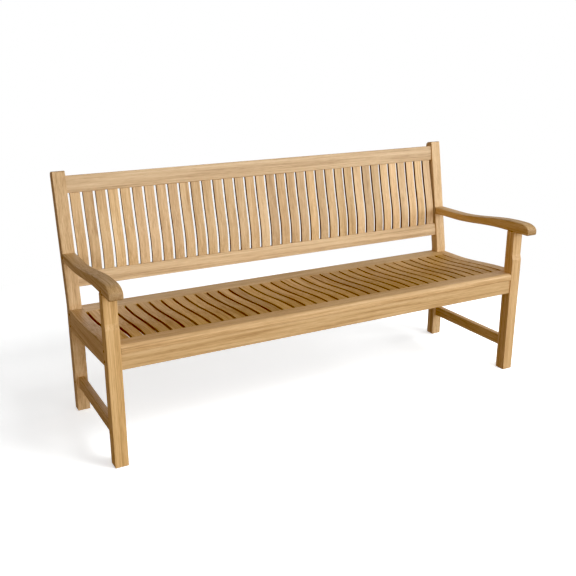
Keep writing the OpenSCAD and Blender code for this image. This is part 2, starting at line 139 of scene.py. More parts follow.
class StudioLook(bpy.types.PropertyGroup):
    """Light and floor of the stage."""

    floor: bpy.props.StringProperty(name="Floor", description="Colour of the floor", default="#e8eaeb")
    side_watts: bpy.props.FloatProperty(
        name="Side light", description="Power of the light at the right", default=92.0, unit="POWER")
    front_watts: bpy.props.FloatProperty(
        name="Front light", description="Power of the light at the front right", default=60.0, unit="POWER")
    rear_watts: bpy.props.FloatProperty(
        name="Rear light", description="Power of the light behind", default=30.0, unit="POWER")
    overhead_watts: bpy.props.FloatProperty(
        name="Overhead light", description="Power of the light that only the floor takes",
        default=190.0, unit="POWER")
    lens: bpy.props.FloatProperty(name="Lens", description="Focal length", default=49.4, unit="CAMERA")


# ---- the leaning back: u runs through the leg, v up it, from the bend ----

def sizes():
    return bpy.context.scene.bench_sizes


def bend_z():
    return SEAT_Z - BEND_DROP


def leaned(points, lean):
    """(u, v) to (y, z): turned back by the lean about the bend."""
    u, v = np.asarray(points, float).T
    return np.stack([
        REAR_LEG_Y + u * math.cos(lean) + v * math.sin(lean),
        bend_z() - u * math.sin(lean) + v * math.cos(lean),
    ], axis=1)


def ease_curve(t):
    """Half a cosine wave from 0 to 1, level at both ends."""
    return (1 - np.cos(math.pi * np.clip(t, 0, 1))) / 2


def bezier(controls, t):
    """Cubic curve through the first and the last of four control points."""
    p = np.asarray(controls, float)
    t = np.asarray(t, float)[:, None]
    return (1 - t) ** 3 * p[0] + 3 * t * (1 - t) ** 2 * p[1] + 3 * t * t * (1 - t) * p[2] + t ** 3 * p[3]


# ---- outlines ----

def unit(v):
    return v / np.maximum(np.linalg.norm(v, axis=-1, keepdims=True), 1e-12)


def eased_outline(corners, chords=4):
    """A closed outline and its outward normals, anticlockwise. Each corner (y, z, r) with a radius
    becomes an arc tangent to its two sides, whose normals turn evenly from one side's to the
    other's; a corner without one stays a point of a smooth curve, with the mean normal."""
    corners = np.asarray(corners, float)
    points, radii = corners[:, :2], corners[:, 2]
    back = unit(np.roll(points, 1, axis=0) - points)
    ahead = unit(np.roll(points, -1, axis=0) - points)
    normal_in = np.stack([-back[:, 1], back[:, 0]], axis=1)
    normal_out = np.stack([ahead[:, 1], -ahead[:, 0]], axis=1)
    turn = ahead[:, 0] * back[:, 1] - ahead[:, 1] * back[:, 0]
    side = np.where(turn >= 0, 1.0, -1.0)
    half = 0.5 * np.arccos(np.clip((back * ahead).sum(axis=1), -1, 1))
    centre = points + unit(back + ahead) * (radii / np.maximum(np.sin(half), 1e-9))[:, None]
    t = np.linspace(0, 1, chords + 1)[None, :, None]
    sweep = unit(normal_in[:, None] * (1 - t) + normal_out[:, None] * t)
    arcs = centre[:, None] + (side * radii)[:, None, None] * sweep
    keep = np.ones(arcs.shape[:2], bool)
    keep[radii <= 0, 1:] = False
    smooth = unit(normal_in + normal_out)
    normals = np.where((radii > 0)[:, None, None], sweep, smooth[:, None])
    return arcs[keep], normals[keep]


def round_outline(centre, radius, count=28):
    """A circle in (y, z) with its outward normals."""
    a = np.arange(count) * 2 * math.pi / count
    normals = np.stack([np.cos(a), np.sin(a)], axis=1)
    return np.asarray(centre) + radius * normals, normals


# ---- timber surfaces ----

def grid_quads(rings, n):
    """Quads between rings of n points, each ring closed, for every ring but the last."""
    j, i = np.meshgrid(np.arange(rings - 1), np.arange(n), indexing="ij")
    k = (i + 1) % n
    return np.stack([j * n + i, j * n + k, (j + 1) * n + k, (j + 1) * n + i], axis=-1).reshape(-1, 4)


class Timber:
    """The surfaces of one piece, gathered before they become one mesh."""

    def __init__(self):
        self.verts, self.normals, self.grain, self.tint, self.end, self.faces = [], [], [], [], [], []
        self.count = 0

    def add(self, verts, normals, faces, along, seed, tone=0.5, pale=0.3, spread=0.15, edge=0.0):
        """Adds a surface. Its grain runs along the given direction. Its place in the log, and how
        far its tone, warmth and paleness stray from the given ones, are drawn from the seed; the paleness is
        a painted sheen. Faces across the grain are darkened as end grain, and those towards X by the given
        amount, which is painted shade on the slats' sides in the gaps between them."""
        draw = np.random.default_rng(seed)
        along = np.asarray(along, float) / np.linalg.norm(along)
        helper = np.array([1.0, 0, 0]) if abs(along[0]) < 0.5 else np.array([0, 1.0, 0])
        across = unit(np.cross(helper, along))
        through = np.cross(along, across)
        turned = verts @ np.stack([along, across, through]).T
        centred = turned - [0, *turned.mean(axis=0)[1:]]
        # metres along the log, to one side of its heart, and out from it
        offset = np.array([draw.uniform(-20, 20), draw.uniform(-0.03, 0.03), draw.uniform(0.05, 0.16)])
        self.verts.append(verts)
        self.normals.append(normals)
        self.grain.append(centred + offset)
        # the third value is the paleness, a painted sheen set per piece
        tint = [tone + draw.normal(0, spread), draw.uniform(0, 1), pale + draw.uniform(-0.12, 0.12)]
        self.tint.append(np.tile(tint, (len(verts), 1)))
        # faces towards X are darkened by edge: painted shade on the slats' sides, in the gaps
        self.end.append(np.maximum((normals @ along) ** 2, edge * normals[:, 0] ** 6))
        self.faces.extend([[i + self.count for i in face] for face in faces])
        self.count += len(verts)

    def prism(self, outline, x0, x1, ease, along, seed, chords=3, **look):
        """An outline in (y, z) carried along X from x0 to x1. Near each end the outline is drawn in
        by ease * (1 - cos a) while x moves on by ease * (1 - sin a), which rounds the edge."""
        points, normals = outline
        a = np.linspace(math.pi / 2, 0, chords + 1)
        x = np.concatenate([x0 + ease * (1 - np.sin(a)), x1 - ease * (1 - np.sin(a[::-1]))])
        drawn_in = np.concatenate([ease * (1 - np.cos(a)), ease * (1 - np.cos(a[::-1]))])
        lift = np.concatenate([-np.sin(a), np.sin(a[::-1])])
        rings, n = len(x), len(points)
        flat = points[None] - drawn_in[:, None, None] * normals[None]
        verts = np.concatenate([np.broadcast_to(x[:, None, None], (rings, n, 1)), flat], axis=2)
        side = np.sqrt(1 - lift ** 2)[:, None, None] * normals[None]
        tilt = np.concatenate([np.broadcast_to(lift[:, None, None], (rings, n, 1)), side], axis=2)
        ends = [list(range(n))[::-1], list(range((rings - 1) * n, rings * n))]
        faces = grid_quads(rings, n).tolist() + ends
        self.add(verts.reshape(-1, 3), tilt.reshape(-1, 3), faces, along, seed, **look)

    def finish(self, name, node, material):
        """Makes the mesh, with its normals, grain, tint and end grain, which also holds the painted
        shade on the slats' sides, and lets it stand for the CAD node."""
        mesh = bpy.data.meshes.new(name)
        mesh.from_pydata(np.concatenate(self.verts).tolist(), [], self.faces)
        mesh.update()
        mesh.polygons.foreach_set("use_smooth", np.ones(len(mesh.polygons), bool))
        grain = mesh.attributes.new("grain", "FLOAT_VECTOR", "POINT")
        grain.data.foreach_set("vector", np.concatenate(self.grain).astype(np.float32).ravel())
        tint = mesh.attributes.new("tint", "FLOAT_VECTOR", "POINT")
        tint.data.foreach_set("vector", np.concatenate(self.tint).astype(np.float32).ravel())
        end = mesh.attributes.new("end", "FLOAT", "POINT")
        end.data.foreach_set("value", np.concatenate(self.end).astype(np.float32))
        mesh.normals_split_custom_set_from_vertices(np.concatenate(self.normals).tolist())
        mesh.materials.append(material)
        piece = bpy.data.objects.new(name, mesh)
        bpy.context.collection.objects.link(piece)
        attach(piece, "root")
        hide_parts(node)
        return piece


def one_board(name, node, outline, x0, x1, ease, along, seed, **look):
    """A piece that is one board."""
    timber = Timber()
    timber.prism(outline, x0, x1, ease, along, seed, **look)
    return timber.finish(name, node, teak())


def pair_of_boards(name, outline, x0, x1, ease, along, seed, **look):
    """The same board at both ends of the bench."""
    one_board(f"{name}_right_timber", f"{name}_right", outline, x0, x1, ease, along, seed, **look)
    one_board(f"{name}_left_timber", f"{name}_left", outline, -x1, -x0, ease, along, seed + 1, **look)


# ---- materials ----

def linear(hex_colour):
    """An sRGB hex colour as linear RGBA."""
    srgb = np.array([int(hex_colour[i:i + 2], 16) for i in (1, 3, 5)]) / 255
    rgb = np.where(srgb <= 0.04045, srgb / 12.92, ((srgb + 0.055) / 1.055) ** 2.4)
    return (*rgb.tolist(), 1.0)


def add(tree, kind, inputs, output=0, stops=(), **settings):
    """Adds a node and returns one of its outputs. Inputs go by name or number, each a value or
    another node's output; settings are the node's own, and stops fill a colour ramp."""
    node = tree.nodes.new("ShaderNode" + kind)
    for name, value in settings.items():
        setattr(node, name, value)
    for name, value in inputs.items():
        if isinstance(value, bpy.types.NodeSocket):
            tree.links.new(value, node.inputs[name])
        else:
            node.inputs[name].default_value = value
    for i, (place, colour) in enumerate(stops):
        element = node.color_ramp.elements[i] if i < 2 else node.color_ramp.elements.new(place)
        element.position, element.color = place, colour
    return None if output is None else node.outputs[output]


def new_material(name):
    """A material with an empty tree, and its Principled shader."""
    material = bpy.data.materials.new(name)
    material.use_nodes = True
    tree = material.node_tree
    tree.nodes.clear()
    shader = tree.nodes.new("ShaderNodeBsdfPrincipled")
    add(tree, "OutputMaterial", {"Surface": shader.outputs["BSDF"]}, output=None)
    return material, tree, shader


def teak():
    """Plantation teak, planed, sanded and oiled: a straw-honey ground with long straight streaks,
    short dark pores along the grain, boards that differ a little in tone, end grain that drinks more oil
    and goes darker, and a soft low sheen. Light is also painted in: the slats' sawn sides are darkened as
    painted shade in the gaps between them, and the upper boards of the back are made paler as a painted
    sheen, the seat richer. Growth rings are 2 to 3 mm apart and pores 0.3 mm wide in the real timber;
    they are drawn 5 mm and 1.6 mm wide, so that they show at the bench's size."""
    name = "teak_sanded_and_oiled"
    if name in bpy.data.materials:
        return bpy.data.materials[name]
    look = bpy.context.scene.teak_look
    material, tree, shader = new_material(name)
    grain = add(tree, "Attribute", {}, output="Vector", attribute_name="grain")
    tint = add(tree, "Attribute", {}, output="Vector", attribute_name="tint")
    tone, warmth, pale = [add(tree, "SeparateXYZ", {0: tint}, output=i) for i in range(3)]
    ring_gap, ring_wander = 5 * MM, 14.0
    line_share, broad_share, fibre_share, ring_share = 1.1, 0.8, 0.8, 0.07

    def streaks(length, width, detail):
        """Noise stretched along the grain, for streaks this long and wide in millimetres."""
        scale = (1000 / length, 1000 / width, 1000 / width)
        mapped = add(tree, "Mapping", {"Vector": grain, "Scale": scale})
        return add(tree, "TexNoise", {"Vector": mapped, "Scale": 1.0, "Detail": detail, "Roughness": 0.6})

    broad = streaks(length=700, width=22, detail=1.0)
    lines = streaks(length=260, width=4.5, detail=3.0)
    fibres = streaks(length=45, width=1.8, detail=2.0)
    log = add(tree, "VectorMath", {0: grain, 1: (0, 1, 1)}, operation="MULTIPLY")
    radius = add(tree, "VectorMath", {0: log}, output="Value", operation="LENGTH")
    wander = add(tree, "Math", {0: broad, 1: ring_wander}, operation="MULTIPLY")
    turns = 2 * math.pi / ring_gap
    phase = add(tree, "Math", {0: radius, 1: turns, 2: wander}, operation="MULTIPLY_ADD")
    rings = add(tree, "Math", {0: phase}, operation="SINE")
    figure = add(tree, "Math", {0: broad, 1: broad_share}, operation="MULTIPLY")
    for part, share in ((lines, line_share), (fibres, fibre_share), (rings, ring_share)):
        figure = add(tree, "Math", {0: part, 1: share, 2: figure}, operation="MULTIPLY_ADD")
    whole = line_share + broad_share + fibre_share
    figure = add(tree, "Math", {0: figure, 1: whole}, operation="DIVIDE")
    ground = add(tree, "ValToRGB", {"Fac": figure}, stops=[
        (0.37, linear(look.dark)), (0.63, linear(look.light)), (0.50, linear(look.middle))])
    specks = streaks(length=34, width=1.6, detail=1.0)
    pores = add(tree, "MapRange", {"Value": specks, "From Min": 0.60, "From Max": 0.74, "To Max": 0.45})
    pored = add(tree, "Mix", {0: pores, 6: ground, 7: linear(look.dark)}, output=2, data_type="RGBA")
    value = add(tree, "MapRange", {
        "Value": tone, "To Min": 1.0 - look.spread, "To Max": 1.0 + look.spread}, clamp=False)
    # paleness lowers the saturation: a painted sheen, where the light's sheen would whiten the wood
    sheen_saturation = add(tree, "MapRange", {"Value": pale, "To Min": 1.08, "To Max": 0.82}, clamp=False)
    hue = add(tree, "MapRange", {"Value": warmth, "To Min": 0.4975, "To Max": 0.501})
    toned = add(tree, "HueSaturation", {"Hue": hue, "Saturation": sheen_saturation, "Value": value, "Color": pored})
    # the end darkening is real end grain plus painted shade on the slats' sides
    end = add(tree, "Attribute", {}, output="Fac", attribute_name="end")
    end_grain_and_gap_shade_colour, end_grain_and_gap_shade_share = linear("#674c2e"), 0.45
    ends = add(tree, "Math", {0: end, 1: end_grain_and_gap_shade_share}, operation="MULTIPLY", use_clamp=True)
    colour = add(tree, "Mix", {0: ends, 6: toned, 7: end_grain_and_gap_shade_colour}, output=2, data_type="RGBA")
    rough = add(tree, "MapRange", {
        "Value": lines, "From Min": 0.3, "From Max": 0.7, "To Min": 0.62, "To Max": 0.48})
    bump = add(tree, "Bump", {"Height": figure, "Strength": 0.35, "Distance": 0.5 * MM})
    tree.links.new(colour, shader.inputs["Base Color"])
    tree.links.new(rough, shader.inputs["Roughness"])
    tree.links.new(bump, shader.inputs["Normal"])
    shader.inputs["Specular IOR Level"].default_value = 0.35
    return material


def flecked(name, scale, detail, dark, light, roughness):
    """Cut wood, with fine flecks of noise between two colours."""
    if name in bpy.data.materials:
        return bpy.data.materials[name]
    material, tree, shader = new_material(name)
    place = add(tree, "TexCoord", {}, output="Object")
    flecks = add(tree, "TexNoise", {"Vector": place, "Scale": scale, "Detail": detail})
    colour = add(tree, "ValToRGB", {"Fac": flecks}, stops=[(0.35, linear(dark)), (0.68, linear(light))])
    tree.links.new(colour, shader.inputs["Base Color"])
    shader.inputs["Roughness"].default_value = roughness
    return material


def end_grain():
    """Teak dowels and pins, seen end on: duller and a shade darker than a face, with fine flecks
    drawn 2 mm wide, where real pores are 0.3 mm."""
    return flecked(
        "teak_dowel_end_grain", scale=500.0, detail=3.0, dark="#85592f", light="#b28750", roughness=0.66)


def hole_shadow():
    """Painted shadow: the mouth of a drilled hole and a screw's socket drawn near black, as the shade
    inside them, with torn fibres drawn 1 mm wide, where real ones are 0.2 mm."""
    return flecked(
        "teak_bore_oiled_dark", scale=900.0, detail=2.0, dark="#251a13", light="#3b2b1f", roughness=0.8)


def stainless():
    """Turned stainless steel: light grey, softly brushed, with a broken highlight. Turning marks
    of 0.1 mm are drawn 1 mm wide."""
    name = "stainless_steel_turned"
    if name in bpy.data.materials:
        return bpy.data.materials[name]
    material, tree, shader = new_material(name)
    place = add(tree, "TexCoord", {}, output="Object")
    marks = add(tree, "TexNoise", {"Vector": place, "Scale": 1000.0, "Detail": 2.0})
    rough = add(tree, "MapRange", {"Value": marks, "To Min": 0.26, "To Max": 0.44})
    tree.links.new(rough, shader.inputs["Roughness"])
    shader.inputs["Base Color"].default_value = linear("#b7b8b6")
    shader.inputs["Metallic"].default_value = 1.0
    return material


# ---- shapes of the pieces ----

def front_leg_outline():
    """Square below the shoulder, set back above it by a bevel 21 mm tall."""
    y0, y1, corner = FRONT_Y, LEG_BACK_Y, LEG_CORNER
    set_back = y0 + 6 * MM
    bevel_low, bevel_high = SEAT_Z + 59 * MM, SEAT_Z + 80 * MM
    hollow_r, crest_r = 14 * MM, 8 * MM
    return eased_outline([
        (y0, 0, corner), (y1, 0, corner), (y1, ARM_UNDER_Z, corner), (set_back, ARM_UNDER_Z, corner),
        (set_back, bevel_high, hollow_r), (y0, bevel_low, crest_r)])


def rear_leg_outline():
    """Upright to the bend, then leaning, with a rounded top."""
    s = sizes()
    t = s.rear_leg_t
    top_v = (span("rear_leg_right", 2)[1] + TOP_ROUNDING - bend_z()) / math.cos(s.lean)
    upper = leaned([(t, t * math.tan(s.lean / 2)), (t, top_v), (0, top_v), (0, 0)], s.lean)
    bend_r, top_rear_r, top_front_r = 60 * MM, 16 * MM, 6 * MM
    radii = [bend_r, top_rear_r, top_front_r, bend_r]
    foot = [(REAR_LEG_Y, 0, LEG_CORNER), (REAR_LEG_Y + t, 0, LEG_CORNER)]
    return eased_outline(foot + [(*p, r) for p, r in zip(upper.tolist(), radii)], chords=7)


def arm_outline():
    """A level pad over the leg, a wave down to the tail, and a nose of a quarter ellipse above and
    a small rounding below."""
    s = sizes()
    tail_z, tail_t, tail_r = ARM_TOP_Z - 34 * MM, 30 * MM, 2.5 * MM
    under_z = tail_z - tail_t
    nose_back, nose_h, chin_r = 16 * MM, 26 * MM, 8 * MM
    top_y = FRONT_Y + 5 * MM, REAR_LEG_Y - 106 * MM
    under_y = FRONT_Y + 80 * MM, REAR_LEG_Y - 100 * MM
    nose = np.array([FRONT_Y - nose_back, ARM_TOP_Z - nose_h])
    a = np.linspace(math.pi, math.pi / 2, 15)
    top_of_nose = nose + np.stack([(nose[0] - ARM_NOSE_Y) * np.cos(a), nose_h * np.sin(a)], axis=1)

    def wave(y0, y1, z0, z1):
        t = np.linspace(0, 1, 25)
        return np.stack([y0 + (y1 - y0) * t, z0 + (z1 - z0) * ease_curve(t)], axis=1)

    def tail_y(z):
        return REAR_LEG_Y + (z - bend_z()) * math.tan(s.lean)

    top = wave(*top_y, ARM_TOP_Z, tail_z)
    under = wave(*under_y, ARM_UNDER_Z, under_z)
    tail = [(tail_y(under_z), under_z, tail_r), (tail_y(tail_z), tail_z, tail_r)]
    chain = [(ARM_NOSE_Y, ARM_UNDER_Z, chin_r)]
    chain += [(*p, 0) for p in under.tolist()] + tail
    chain += [(*p, 0) for p in top[::-1].tolist()] + [(*p, 0) for p in top_of_nose[-2::-1].tolist()]
    return eased_outline(chain, chords=6)


def seat_top(y):
    """Height of the seat at y: level at the front board, one soft wave down, level behind."""
    y0, y1 = BOARD_BACK_Y - WAVE_START, REAR_LEG_Y - WAVE_END
    return SEAT_Z + (SEAT_REAR_Z - SEAT_Z) * ease_curve((np.asarray(y) - y0) / (y1 - y0))


def bearer_top(y):
    """Height of the bearer's top face at y, just under the slats."""
    return seat_top(y) - sizes().seat_slat_t - BEARER_GAP


def side_rail_outline():
    """Straight sloping underside, top that follows the seat."""
    edge, level_end, above_apron = 3 * MM, 60 * MM, 10 * MM
    y = np.linspace(BOARD_BACK_Y, REAR_LEG_Y - level_end, 25)
    low_front = span("front_apron", 2)[0] + above_apron
    low_rear = span("side_rail_right", 2)[0]
    crown = [(a, b, 0) for a, b in zip(y[::-1].tolist(), seat_top(y)[::-1].tolist())]
    return eased_outline([
        (LEG_BACK_Y, low_front, edge), (REAR_LEG_Y, low_rear, edge), (REAR_LEG_Y, SEAT_REAR_Z, edge),
        *crown, (LEG_BACK_Y, SEAT_Z, edge)])


def box_outline(y, z, radius):
    """A rectangle with eased corners."""
    corners = (y[0], z[0]), (y[1], z[0]), (y[1], z[1]), (y[0], z[1])
    return eased_outline([(*corner, radius) for corner in corners])


def slat_layout():
    """Centre of each slat along X: as many as fit, at an even pitch."""
    s = sizes()
    clear = 2 * INNER_X
    count = round((clear - s.slat_gap) / (s.slat_w + s.slat_gap))
    pitch = (clear + s.slat_w) / (count + 1)
    return (np.arange(count) - (count - 1) / 2) * pitch


def slat_groups():
    """Slats of each CAD node of a panel."""
    groups = len([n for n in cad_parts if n.startswith("seat_slats_")])
    x = slat_layout()
    starts = [int(g * len(x) / groups + 0.5) for g in range(groups + 1)]
    return [list(range(starts[g], starts[g + 1])) for g in range(groups)]


def seat_slat_outline():
    """The seat's wave, one slat thick."""
    t, edge = sizes().seat_slat_t, SLAT_CORNER
    y0, y1 = BOARD_BACK_Y, REAR_BOARD_Y[0]
    y = np.linspace(y0, y1, 34)
    z = seat_top(y)
    low = [(a, b - t, 0) for a, b in zip(y[1:-1], z[1:-1])]
    high = [(a, b, 0) for a, b in zip(y[-2:0:-1], z[-2:0:-1])]
    return eased_outline([
        (y0, z[0] - t, edge), *low, (y1, z[-1] - t, edge), (y1, z[-1], edge), *high, (y0, z[0], edge)])


def rail_v():
    """Where the back rails lie along the leg: lower rail's two edges, top rail's two edges."""
    s = sizes()
    top_v = (BACK_H - bend_z()) / math.cos(s.lean)
    return *LOW_RAIL_V, top_v - TOP_RAIL_DOWN[0], top_v - TOP_RAIL_DOWN[1]


def back_slat_outline():
    """The lumbar curve, one slat thick, between the two rails."""
    s = sizes()
    edge = SLAT_CORNER
    low, high = rail_v()[1:3]
    curve = bezier(LUMBAR, np.linspace(0, 1, 30))
    u, v = curve[:, 0] * MM, low + curve[:, 1] * (high - low)
    front = leaned(np.stack([u, v], axis=1), s.lean).tolist()
    rear = leaned(np.stack([u + s.back_slat_t, v], axis=1), s.lean).tolist()
    return eased_outline([
        (*front[0], edge), (*rear[0], edge), *[(*p, 0) for p in rear[1:-1]],
        (*rear[-1], edge), (*front[-1], edge), *[(*p, 0) for p in front[-2:0:-1]]])


def back_rail_outline(free_v, slat_v, bow_depth):
    """A rail's section: the face bows back towards the slats, along a parabola 34 mm long."""
    s = sizes()
    up = 1 if slat_v > free_v else -1
    t = np.linspace(0, 1, 10)
    (face_u, back_u), bow_h, edge = RAIL_U, 34 * MM, 2.6 * MM
    bow = np.stack([face_u + bow_depth * t * t, slat_v + up * bow_h * (t - 1)], axis=1)
    loop = np.concatenate([[[face_u, free_v]], bow, [[back_u, slat_v], [back_u, free_v]]])
    radii = [edge] + [0] * (len(bow) - 1) + [edge] * 3
    loop = leaned(loop, s.lean)
    if up > 0:
        loop, radii = loop[::-1], radii[::-1]
    return eased_outline([(*p, r) for p, r in zip(loop.tolist(), radii)])


# ---- operators ----

ALONG_X, ALONG_Y, ALONG_Z = (1, 0, 0), (0, 1, 0), (0, 0, 1)


class BENCH_OT_front_legs(bpy.types.Operator):
    """Builds the two front legs"""

    bl_idname = "bench.front_legs"
    bl_label = "Front legs"

    def execute(self, context):
        pair_of_boards(
            "front_leg", front_leg_outline(), INNER_X, HALF_L, sizes().eased, ALONG_Z, seed=11,
            tone=0.85, pale=0.2)
        return {"FINISHED"}


class BENCH_OT_rear_legs(bpy.types.Operator):
    """Builds the two bent rear legs"""

    bl_idname = "bench.rear_legs"
    bl_label = "Rear legs"

    def execute(self, context):
        half_lean = (0, 0.1, 1)
        # the paleness given here is a painted sheen
        pair_of_boards(
            "rear_leg", rear_leg_outline(), INNER_X, HALF_L, sizes().eased, half_lean, seed=21,
            tone=0.4, pale=0.45)
        return {"FINISHED"}


class BENCH_OT_arms(bpy.types.Operator):
    """Builds the two arms"""

    bl_idname = "bench.arms"
    bl_label = "Arms"

    def execute(self, context):
        pair_of_boards("arm", arm_outline(), INNER_X, HALF_L, ARM_EASE, ALONG_Y, seed=31)
        return {"FINISHED"}


class BENCH_OT_side_rails(bpy.types.Operator):
    """Builds the side rails of the seat and the stretchers below them"""

    bl_idname = "bench.side_rails"
    bl_label = "Side rails and stretchers"

    def execute(self, context):
        pair_of_boards(
            "side_rail", side_rail_outline(), INNER_X, HALF_L, sizes().eased, ALONG_Y, seed=41)
        low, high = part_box("stretcher_right")
        outline = box_outline((LEG_BACK_Y, REAR_LEG_Y), (low.z, high.z), LEG_CORNER)
        pair_of_boards("stretcher", outline, low.x, high.x, RAIL_CORNER, ALONG_Y, seed=51)
        return {"FINISHED"}


class BENCH_OT_long_rails(bpy.types.Operator):
    """Builds the aprons, the front and rear boards of the seat and the two back rails"""

    bl_idname = "bench.long_rails"
    bl_label = "Long rails"

    def execute(self, context):
        lower0, lower1, top0, top1 = rail_v()
        board_low, board_high = span("seat_front_board", 2)
        nosing, chin, joint = 13 * MM, 4 * MM, 1 * MM
        rear_corner, low_bow, top_bow = 1.6 * MM, 2.5 * MM, 4 * MM
        outlines = {
            "front_apron": box_outline(span("front_apron", 1), span("front_apron", 2), RAIL_CORNER),
            "rear_apron": box_outline(span("rear_apron", 1), span("rear_apron", 2), RAIL_CORNER),
            "seat_front_board": eased_outline([
                (FRONT_Y, board_low, chin), (BOARD_BACK_Y, board_low, joint),
                (BOARD_BACK_Y, board_high, joint), (FRONT_Y, board_high, nosing)], chords=8),
            "seat_rear_board": box_outline(REAR_BOARD_Y, span("seat_rear_board", 2), rear_corner),
            "lower_back_rail": back_rail_outline(lower0, lower1, low_bow),
            "top_back_rail": back_rail_outline(top1, top0, top_bow),
        }
        # the back rails are made paler as a painted sheen, the front board less so
        looks = {
            "seat_front_board": dict(tone=0.95, pale=0.45),
            "top_back_rail": dict(tone=0.4, pale=1.0),
            "lower_back_rail": dict(tone=0.35, pale=0.75),
        }
        plain = dict(tone=0.5, pale=0.2)
        for seed, (node, outline) in enumerate(outlines.items(), start=61):
            one_board(
                f"{node}_timber", node, outline, -INNER_X, INNER_X, RAIL_EASE, ALONG_X, seed,
                spread=0.05, **looks.get(node, plain))
        return {"FINISHED"}


class BENCH_OT_slats(bpy.types.Operator):
    """Builds the slats of the seat and of the back"""

    bl_idname = "bench.slats"
    bl_label = "Slats"

    def execute(self, context):
        half = sizes().slat_w / 2
        x = slat_layout()
        up_the_lean = (0, math.tan(sizes().lean), 1)
        # edge darkens the slats' sides as painted shade in the gaps; the paleness is a painted sheen, paler
        # up the back than on the seat
        seat_look = dict(tone=0.05, pale=-0.3, edge=0.8, spread=0.3)
        back_look = dict(pale=0.6, edge=2.2, spread=0.3)
        for panel, outline, along, seed, look in (
                ("seat_slats", seat_slat_outline(), ALONG_Y, 1000, seat_look),
                ("back_slats", back_slat_outline(), up_the_lean, 2000, back_look)):
            for g, members in enumerate(slat_groups(), start=1):
                timber = Timber()
                for i in members:
                    timber.prism(outline, x[i] - half, x[i] + half, SLAT_EASE, along, seed + i, **look)
                timber.finish(f"{panel}_{g:02d}_timber", f"{panel}_{g:02d}", teak())
        return {"FINISHED"}


class BENCH_OT_under_seat(bpy.types.Operator):
    """Builds the bearer under the slats and the two braces that carry it in a notch"""

    bl_idname = "bench.under_seat"
    bl_label = "Under the seat"

    def execute(self, context):
        low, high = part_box("seat_bearer")
        y0, y1 = low.y, high.y
        z0, z1 = bearer_top(np.array([y0, y1])).tolist()
        under0, under1 = z0 - BEARER_T, z1 - BEARER_T
        edge, notch = 1.5 * MM, 0.4 * MM
        bearer = eased_outline([(y0, under0, edge), (y1, under1, edge), (y1, z1, edge), (y0, z0, edge)])
        one_board(
            "seat_bearer_timber", "seat_bearer", bearer, -INNER_X, INNER_X, RAIL_EASE, ALONG_X, seed=81)
        low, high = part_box("cross_brace_right")
        apron_back, rear_apron = span("front_apron", 1)[1], span("rear_apron", 1)[0]
        before_board, below_board = 4 * MM, 1 * MM
        board_front = REAR_BOARD_Y[0] - before_board
        board_low = span("seat_rear_board", 2)[0] - below_board
        before_notch, after_notch, at_board = [high.z - fall * MM for fall in (1.8, 2.2, 4)]
        brace = eased_outline([
            (apron_back, low.z, edge), (rear_apron, low.z, edge), (rear_apron, board_low, edge),
            (board_front, board_low, edge), (board_front, at_board, edge), (y1, after_notch, edge),
            (y1, under1, notch), (y0, under0, notch), (y0, before_notch, edge),
            (apron_back, high.z, edge)])
        pair_of_boards("cross_brace", brace, low.x, high.x, 0.8 * edge, ALONG_Y, seed=83)
        return {"FINISHED"}


def fixing_places():
    """Where the pins and the bolts come out of an end frame, as (y, z)."""
    s = sizes()
    lower0, lower1, top0, top1 = rail_v()
    stretcher_z = sum(span("stretcher_right", 2)) / 2
    apron_z, rear_z = span("front_apron", 2), span("rear_apron", 2)
    front_y, rear_y, rear_low_y = LEG_BACK_Y - 9 * MM, REAR_LEG_Y + 7.5 * MM, REAR_LEG_Y + 9 * MM
    front_low, front_high = apron_z[0] + 28 * MM, SEAT_Z - 24 * MM
    rear_low, rear_high = rear_z[0] + 21 * MM, SEAT_REAR_Z - 20 * MM
    rail_pins = [(front_y, front_low), (front_y, front_high), (rear_y, rear_low), (rear_y, rear_high)]
    stretcher_pins = [(front_y, stretcher_z), (rear_low_y, stretcher_z)]
    tail_u, tail_z = 8 * MM, ARM_TOP_Z - 49 * MM
    tail_pin = leaned([(tail_u, (tail_z - bend_z()) / math.cos(s.lean))], s.lean).tolist()
    leg_top_pin = (FRONT_Y + 26 * MM, ARM_UNDER_Z + LEG_TENON / 2)
    rail_u = sum(RAIL_U) / 2
    bolts = [
        (sum(span("front_apron", 1)) / 2, sum(apron_z) / 2),
        (sum(span("rear_apron", 1)) / 2, sum(rear_z) / 2),
        *leaned([(rail_u, (lower0 + lower1) / 2), (rail_u, (top0 + top1) / 2)], s.lean).tolist()]
    return rail_pins + stretcher_pins + tail_pin + [leg_top_pin], bolts


class BENCH_OT_pins_and_plugs(bpy.types.Operator):
    """Builds the ends of the locking pins and the plugs over the bolts, 0.25 mm proud of the legs"""

    bl_idname = "bench.pins_and_plugs"
    bl_label = "Pins and plugs"

    def execute(self, context):
        pins, bolts = fixing_places()
        sunk = 2 * MM
        for node, places, radius, material, along in (
                ("joint_pins", pins, PIN_R, end_grain(), ALONG_X),
                ("bolt_plugs", bolts, PLUG_R, teak(), ALONG_Z)):
            timber = Timber()
            for seed, place in enumerate(places, start=300):
                outline = round_outline(place, radius)
                timber.prism(outline, HALF_L - sunk, HALF_L + PROUD, PROUD, along, seed)
                timber.prism(outline, -HALF_L - PROUD, sunk - HALF_L, PROUD, along, seed + 50)
            timber.finish(f"{node}_ends", node, material)
        dress("board_dowels", end_grain())
        return {"FINISHED"}


